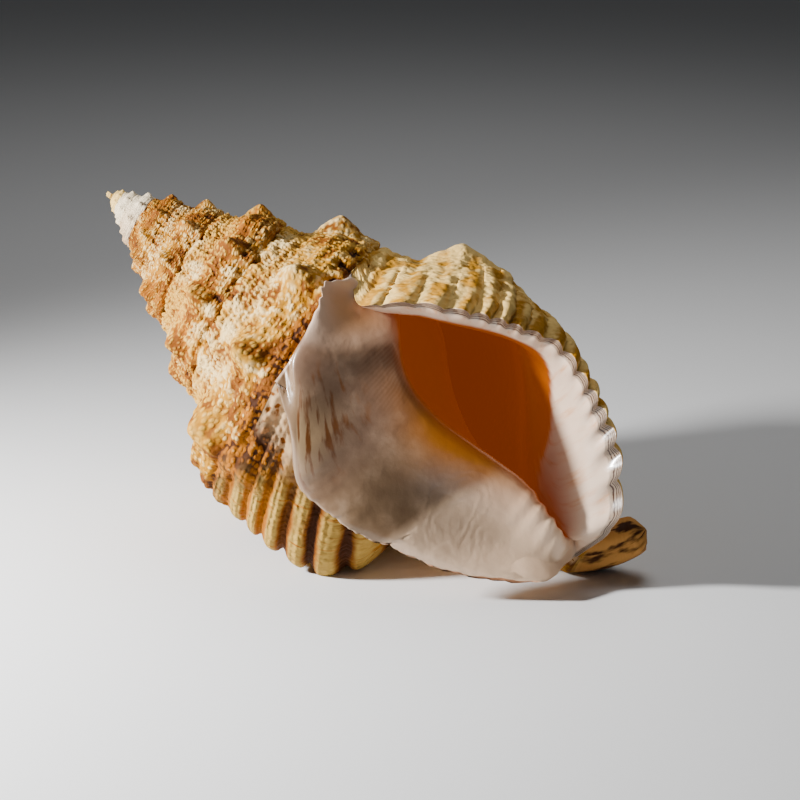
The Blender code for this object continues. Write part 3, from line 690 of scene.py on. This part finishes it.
class Paint:
    """One material. Its methods add shader nodes and return their outputs."""

    def __init__(self, name, roughness):
        self.material = bpy.data.materials.new(name)
        self.material.use_nodes = True
        self.tree = self.material.node_tree
        self.shader = self.tree.nodes["Principled BSDF"]
        self.shader.inputs["Roughness"].default_value = roughness
        self.here = self.put("TexCoord", "Object")

    def put(self, kind, output=0, inputs=(), **settings):
        """Adds a node, makes its settings, then fills its inputs in order with outputs or values."""
        node = self.tree.nodes.new("ShaderNode" + kind)
        for key, value in settings.items():
            setattr(node, key, value)
        for socket, value in zip(node.inputs, inputs):
            if isinstance(value, bpy.types.NodeSocket):
                self.tree.links.new(value, socket)
            elif value is not None:
                socket.default_value = value
        return node.outputs[output]

    def mark(self, name):
        """Value of a mark of the mesh."""
        return self.put("Attribute", "Fac", attribute_name=name)

    def maths(self, operation, a, b=0.0):
        """Sum, product or other operation on two values."""
        return self.put("Math", inputs=(a, b), operation=operation)

    def times(self, a, b):
        """Product of two values."""
        return self.maths("MULTIPLY", a, b)

    def total(self, *terms):
        """Sum of values, each of them an output and a factor."""
        result = 0.0
        for value, factor in terms:
            result = self.put("Math", inputs=(value, factor, result), operation="MULTIPLY_ADD")
        return result

    def step(self, value, low, high):
        """Smooth step from 0 at low to 1 at high."""
        return self.put("MapRange", inputs=(value, low, high), interpolation_type="SMOOTHSTEP")

    def mix(self, factor, low, high):
        """Colour between two colours."""
        inputs = (factor, None, None, None, None, None, low, high)
        return self.put("Mix", 2, inputs, data_type="RGBA")

    def place(self, x, y, z=0.0):
        """Vector of three values."""
        return self.put("CombineXYZ", inputs=(x, y, z))

    def noise(self, place, scale, detail=3.0):
        """Fractal noise between 0 and 1."""
        return self.put("TexNoise", inputs=(place, None, scale, detail))

    def drawn(self, x, x_scale, y, y_scale, detail=3.0):
        """Noise over two marks, drawn out by a scale for each."""
        return self.noise(self.place(self.times(x, x_scale), self.times(y, y_scale)), 1.0, detail)

    def bump(self, height, depth, strength):
        """Tilts the shading by a height, in metres, where the value is 1."""
        normal = self.put("Bump", inputs=(strength, depth, None, height))
        self.tree.links.new(normal, self.shader.inputs["Normal"])

    def colour(self, colour):
        """Sets the shader's base colour."""
        self.tree.links.new(colour, self.shader.inputs["Base Color"])


# Outside of the shell: cream and white beads on an orange ground, brown in the recesses, bleached at the apex,
# glazed beside the shield and banded with dark brown between the ribs of the frill.
BLEACHED = (0.80, 0.66, 0.45, 1)
WHITE = (0.75, 0.53, 0.22, 1)
CREAM = (0.58, 0.31, 0.045, 1)
PALE = (0.90, 0.60, 0.19, 1)
SAND = (0.46, 0.200, 0.003, 1)
OCHRE = (0.33, 0.104, 0.001, 1)
RUST = (0.18, 0.050, 0.001, 1)
UMBER = (0.045, 0.012, 0.002, 1)
OLIVE = (0.45, 0.28, 0.060, 1)
STUB = (0.54, 0.25, 0.06, 1)
PORCELAIN = (0.48, 0.31, 0.16, 1)

# Marks of the mesh, noises of three sizes, and a second row of grains that are finer than the modelled ones.
paint = Paint("shell_outside", 0.75)
paint.shader.inputs["Specular IOR Level"].default_value = 0.15
turn, cord, beads = paint.mark("turn"), paint.mark("cord"), paint.mark("beads")
knobs, varix, pits, lumps = paint.mark("knobs"), paint.mark("varix"), paint.mark("pits"), paint.mark("lumps")
glaze, canal = paint.mark("glaze"), paint.mark("canal")
wide, patchy, fine = paint.noise(paint.here, 40), paint.noise(paint.here, 130, 4), paint.noise(paint.here, 420)
cells = paint.place(paint.times(paint.mark("grain"), 1.35), paint.times(cord, 3.3))
nearest = paint.put("TexVoronoi", inputs=(cells, None, 1.0, None, None, None, None, None, 0.8),
                    voronoi_dimensions="2D")
small = paint.step(nearest, 0.50, 0.12)
# How far a place stands out: crowns are pale, and pits and the belt below the shoulder are brown.
belt = paint.times(paint.step(cord, 4.4, 5.4), paint.step(cord, 8.8, 7.8))
belt = paint.times(belt, paint.step(turn, -0.82, -0.74))
slope = paint.times(paint.step(cord, 3.6, 2.2), paint.step(turn, -3.2, -2.2))
raised = paint.total((beads, 0.72), (small, 0.30), (knobs, 0.35), (lumps, 0.6), (patchy, 0.9), (fine, 0.30),
                     (pits, -1.1), (belt, -0.48), (paint.step(turn, -1.6, -2.2), -0.10), (slope, 0.20))
pale = paint.total((wide, 1.0), (paint.step(turn, -1.05, -0.90), 0.24), (belt, -0.50))
ground = paint.mix(paint.step(pale, 0.46, 0.70), OCHRE, SAND)
ground = paint.mix(paint.step(patchy, 0.56, 0.40), ground, RUST)
crown = paint.mix(paint.step(paint.total((patchy, 0.6), (wide, 0.6)), 0.58, 0.74), CREAM, WHITE)
colour = paint.mix(paint.step(raised, 0.88, 1.34), ground, crown)
colour = paint.mix(paint.step(raised, 0.64, 0.38), colour, UMBER)
# Ribs of the old lips, with ochre or rust in the valleys and dark brown in the lowest ones.
valley = paint.total((paint.maths("COSINE", paint.times(cord, 2 * math.pi)), 0.5), (1.0, 0.5))
on_varix = paint.step(varix, 0.10, 0.45)
furrow = paint.mix(paint.step(cord, 7.6, 9.2), OCHRE, RUST)
frill = paint.mix(paint.step(paint.total((valley, 1.0), (patchy, 1.1)), 0.70, 1.35), OLIVE, furrow)
dark = paint.step(paint.total((valley, 1.0), (patchy, 0.7)), 1.04, 1.28)
dark = paint.times(dark, paint.step(cord, 8.3, 9.6))
growth = paint.drawn(turn, 260.0, cord, 0.8)
frill = paint.mix(paint.step(growth, 0.56, 0.70), frill, OCHRE)
frill = paint.mix(dark, frill, UMBER)
# The pale, calm area behind the lip.
stained = paint.total((wide, 0.5), (patchy, 0.8), (knobs, -0.12), (valley, 0.16))
calm = paint.mix(paint.step(stained, 0.66, 0.84), PALE, SAND)
calm = paint.mix(paint.step(paint.total((knobs, 0.5), (patchy, 0.7)), 0.45, 0.85), calm, WHITE)
colour = paint.mix(paint.times(paint.step(turn, -0.20, -0.02), 0.9), colour, calm)
colour = paint.mix(paint.times(on_varix, paint.step(cord, 4.5, 6.5)), colour, frill)
# Thin glaze with rusty dashes beside the shield, bleached first turns, and the striped canal.
dashes = paint.drawn(turn, 70.0, cord, 1.7, 2.0)
shine = paint.mix(paint.step(dashes, 0.54, 0.64), PORCELAIN, RUST)
colour = paint.mix(paint.step(glaze, 0.15, 0.85), colour, shine)
colour = paint.mix(paint.step(turn, -4.2, -4.9), colour, BLEACHED)
colour = paint.mix(paint.step(turn, -6.0, -6.6), colour, PALE)
stripes = paint.drawn(turn, 9.0, cord, 0.6)
stub = paint.mix(paint.step(stripes, 0.50, 0.62), STUB, UMBER)
paint.colour(paint.mix(paint.step(canal, 0.0, 0.12), colour, stub))
# Fine relief, weaker behind the lip and gone under the glaze.
finer = paint.maths("SINE", paint.times(cord, 8 * math.pi))
on_frill = paint.times(on_varix, paint.total((growth, 1.4), (finer, 0.25)))
relief = paint.total((small, 0.55), (fine, 0.35), (patchy, 0.5), (on_frill, 1.0))
kept = paint.total((paint.step(turn, -0.20, 0.0), -0.35), (1.0, 1.0))
kept = paint.times(kept, paint.step(glaze, 0.8, 0.2))
paint.bump(paint.times(relief, kept), 0.0010, 0.6)
outside_paint = paint.material

# Mouth and shield: porcelain glaze, white with peach streaks on the lip; on the shield painted shade in dark
# brown and beige with a grey-blue patch and waves, and painted light on its lower right; brown layers on the
# lip's edge, and deep orange in the throat.
LIP_WHITE = (0.81, 0.59, 0.43, 1)
# Pale glaze, used for pale mottle and as the painted light on the shield's lower right.
PALE_AND_LIT = (0.90, 0.63, 0.42, 1)
LAYER = (0.36, 0.26, 0.18, 1)
EAR = (0.86, 0.62, 0.47, 1)
PEACH = (0.70, 0.34, 0.14, 1)
# Dark brown and beige: the shield's glaze darkened as painted shade.
SHADED_BROWN = (0.21, 0.125, 0.080, 1)
SHADED_BEIGE = (0.23, 0.140, 0.075, 1)
SLATE = (0.18, 0.165, 0.15, 1)
AMBER = (0.55, 0.17, 0.006, 1)
THROAT = (0.22, 0.052, 0.001, 1)
THROAT_GLOW = (1.0, 0.17, 0.003, 1)
# Normal of the straight painted shadow line across the shield.
SHADOW_LINE_NORMAL = (0.495, 0.0, -0.870)
WAVES_AT = (0.030, -0.056, 0.030)

# The shield is painted in shade, dark brown above and dark beige below, pinkish on the ear and streaked with
# rust beside it.
paint = Paint("shell_mouth", 0.32)
level, share, lip = paint.mark("level"), paint.mark("share"), paint.mark("lip")
wide, fine = paint.noise(paint.here, 55), paint.noise(paint.here, 300)
streaks = paint.noise(paint.place(paint.times(share, 60.0), level), 1.0, 4.0)
shield = paint.mix(paint.step(share, 0.30, 0.45), SHADED_BROWN, SHADED_BEIGE)
shield = paint.mix(paint.step(share, 0.135, 0.095), shield, EAR)
# Distance across the painted shadow line: the side below and to the right is painted lit.
across = paint.put("VectorMath", 1, (paint.here, SHADOW_LINE_NORMAL), operation="DOT_PRODUCT")
across = paint.total((across, 1.0), (wide, 0.006))
along = paint.drawn(level, 9.0, share, 16.0, 4.0)
upper_part = paint.times(paint.step(share, 0.40, 0.28), paint.step(level, 2.6, 1.9))
upper_part = paint.times(upper_part, paint.step(share, 0.13, 0.18))
brown = paint.times(paint.step(along, 0.52, 0.70), upper_part)
shield = paint.mix(paint.times(brown, 0.75), shield, RUST)
# Grey-blue patch, soft mottle, fine slanting lines, and painted light on the lower right, up to a straight
# painted shadow line.
shield = paint.mix(paint.times(paint.mark("blue"), 0.35), shield, SLATE)
mottle = paint.noise(paint.here, 110, 6)
shield = paint.mix(paint.times(paint.step(mottle, 0.46, 0.80), 0.25), shield, PALE_AND_LIT)
shield = paint.mix(paint.times(paint.step(mottle, 0.52, 0.25), 0.26), shield, UMBER)
lines = paint.maths("SINE", paint.total((share, 520.0), (level, 60.0), (wide, 22.0)))
lined = paint.times(paint.step(level, 2.1, 2.8), paint.step(share, 0.36, 0.22))
shield = paint.mix(paint.times(lined, paint.total((lines, 0.04), (0.05, 1.0))), shield, EAR)
# Painted light: the shield's lower right, past the painted shadow line, takes the pale lit colour.
shield = paint.mix(paint.step(across, -0.0145, -0.0085), shield, PALE_AND_LIT)
shield = paint.mix(paint.mark("trough"), shield, PEACH)
edge_line = paint.times(paint.step(level, 1.06, 1.0), paint.step(share, 0.29, 0.33))
shield = paint.mix(paint.times(edge_line, 0.5), shield, PALE_AND_LIT)
# The lip's face, and the layers of growth on its edge.
face = paint.mix(paint.step(streaks, 0.48, 0.85), LIP_WHITE, PEACH)
colour = paint.mix(lip, shield, face)
layers = paint.maths("SINE", paint.total((level, 26.0), (fine, 9.0), (streaks, 5.0)))
edge = paint.mix(paint.step(layers, -0.2, 0.8), LAYER, UMBER)
rim_end = paint.total((level, 1.0), (paint.step(share, 0.50, 0.35), -0.15))
rim = paint.times(paint.step(rim_end, 1.32, 1.1), lip)
colour = paint.mix(rim, colour, edge)
# Spots where the shield thins out, painted shade under its left edge, the amber band and the throat.
spots = paint.mix(paint.step(along, 0.50, 0.62), PORCELAIN, RUST)
colour = paint.mix(paint.mark("thin"), colour, spots)
# Painted shade on the band under the shield's left free edge, in the shaded beige.
under_edge_shade = paint.times(paint.step(share, 0.15, 0.19), paint.step(share, 0.46, 0.40))
under_edge_shade = paint.times(under_edge_shade, paint.step(lip, 1.0, 0.0))
under_edge_shade = paint.times(under_edge_shade, paint.step(level, 1.10, 0.98))
colour = paint.mix(under_edge_shade, colour, SHADED_BEIGE)
colour = paint.mix(paint.mark("amber"), colour, AMBER)
deep = paint.mark("deep")
paint.colour(paint.mix(deep, colour, THROAT))
# Waves on the lower shield. The throat glows weakly as painted light, in place of light that falls through the
# thin wall, and the amber band glows more weakly still.
waves = paint.put("VectorMath", 1, (paint.here, WAVES_AT), operation="DISTANCE")
rings = paint.maths("SINE", paint.total((waves, 1900.0), (wide, 45.0)))
near = paint.step(waves, 0.020, 0.009)
paint.bump(paint.total((fine, 0.5), (paint.times(rings, near), 0.10), (wide, 1.0)), 0.0008, 0.35)
paint.shader.inputs["Emission Color"].default_value = THROAT_GLOW
glow = paint.total((deep, 0.14), (paint.mark("amber"), 0.02))
paint.tree.links.new(glow, paint.shader.inputs["Emission Strength"])
paint.shader.inputs["Coat Weight"].default_value = 0.4
paint.shader.inputs["Coat Roughness"].default_value = 0.12
mouth_paint = paint.material

spire.data.materials.append(outside_paint)
last_turn.data.materials.append(outside_paint)
last_turn.data.materials.append(mouth_paint)
last_turn.data.polygons.foreach_set("material_index", in_mouth.astype(np.int32))


# Floor, camera and light. A sheet of white paper lies under the shell and runs back into the dark; a lamp
# from the left throws the long shadow and a weak one from behind and above softens it.
FLOOR = 6
floor_mesh = bpy.data.meshes.new("sweep")
corners = [(-FLOOR, -FLOOR, 0), (FLOOR, -FLOOR, 0), (FLOOR, FLOOR, 0), (-FLOOR, FLOOR, 0)]
floor_mesh.from_pydata(corners, [], [(0, 1, 2, 3)])
floor = bpy.data.objects.new("sweep", floor_mesh)
bpy.context.scene.collection.objects.link(floor)

PHOTO_SIZE = 800
APEX_LEFT = 297
APEX_UP = 213
PHOTO_ROLL = math.radians(50.5)
SENSOR = 36
right = Vector((1, 0, 0))
up = Vector((0, math.sin(LOOK_DOWN), math.cos(LOOK_DOWN)))
toward = Vector((0, -math.cos(LOOK_DOWN), math.sin(LOOK_DOWN)))
PIXEL = 0.34 * MM
DISTANCE = 1.2
apex = Vector(GROUND)
turned = Matrix((right, up, toward)).transposed() @ Matrix.Rotation(ROLL - PHOTO_ROLL, 3, "Z")
centre = apex + turned.col[0] * APEX_LEFT * PIXEL - turned.col[1] * APEX_UP * PIXEL
camera_data = bpy.data.cameras.new("camera")
camera_data.lens = SENSOR * DISTANCE / (PHOTO_SIZE * PIXEL)
camera_data.sensor_width = SENSOR
camera_data.clip_start = 0.05
camera_data.clip_end = 50
camera = bpy.data.objects.new("camera", camera_data)
bpy.context.scene.collection.objects.link(camera)
camera.matrix_world = Matrix.Translation(centre + toward * DISTANCE) @ turned.to_4x4()
bpy.context.scene.camera = camera


def add_lamp(name, kind, place, aim, **settings):
    """Lamp at a place, turned to shine at a point."""
    lamp = bpy.data.lights.new(name, kind)
    for key, value in settings.items():
        setattr(lamp, key, value)
    holder = bpy.data.objects.new(name, lamp)
    bpy.context.scene.collection.objects.link(holder)
    holder.location = place
    holder.rotation_mode = "QUATERNION"
    holder.rotation_quaternion = (Vector(aim) - Vector(place)).to_track_quat("-Z", "Y")


add_lamp("key", "SPOT", (-0.44, -0.09, 0.26), (-0.06, -0.15, 0.0), energy=37, spot_size=math.radians(100),
         spot_blend=1.0, shadow_soft_size=0.03)
add_lamp("fill", "AREA", (0.05, 0.30, 0.70), (0.0, -0.10, 0.0), energy=0.88, shape="DISK", size=0.5,
         spread=math.radians(120))

world = bpy.data.worlds.new("world")
bpy.context.scene.world = world
world.use_nodes = True
world.node_tree.nodes["Background"].inputs[0].default_value = (0.95, 0.97, 1, 1)
world.node_tree.nodes["Background"].inputs[1].default_value = 0.05

floor_paint = bpy.data.materials.new("paper")
floor_paint.use_nodes = True
floor_paint.node_tree.nodes["Principled BSDF"].inputs["Base Color"].default_value = (0.80, 0.80, 0.80, 1)
floor_paint.node_tree.nodes["Principled BSDF"].inputs["Roughness"].default_value = 0.8
floor.data.materials.append(floor_paint)
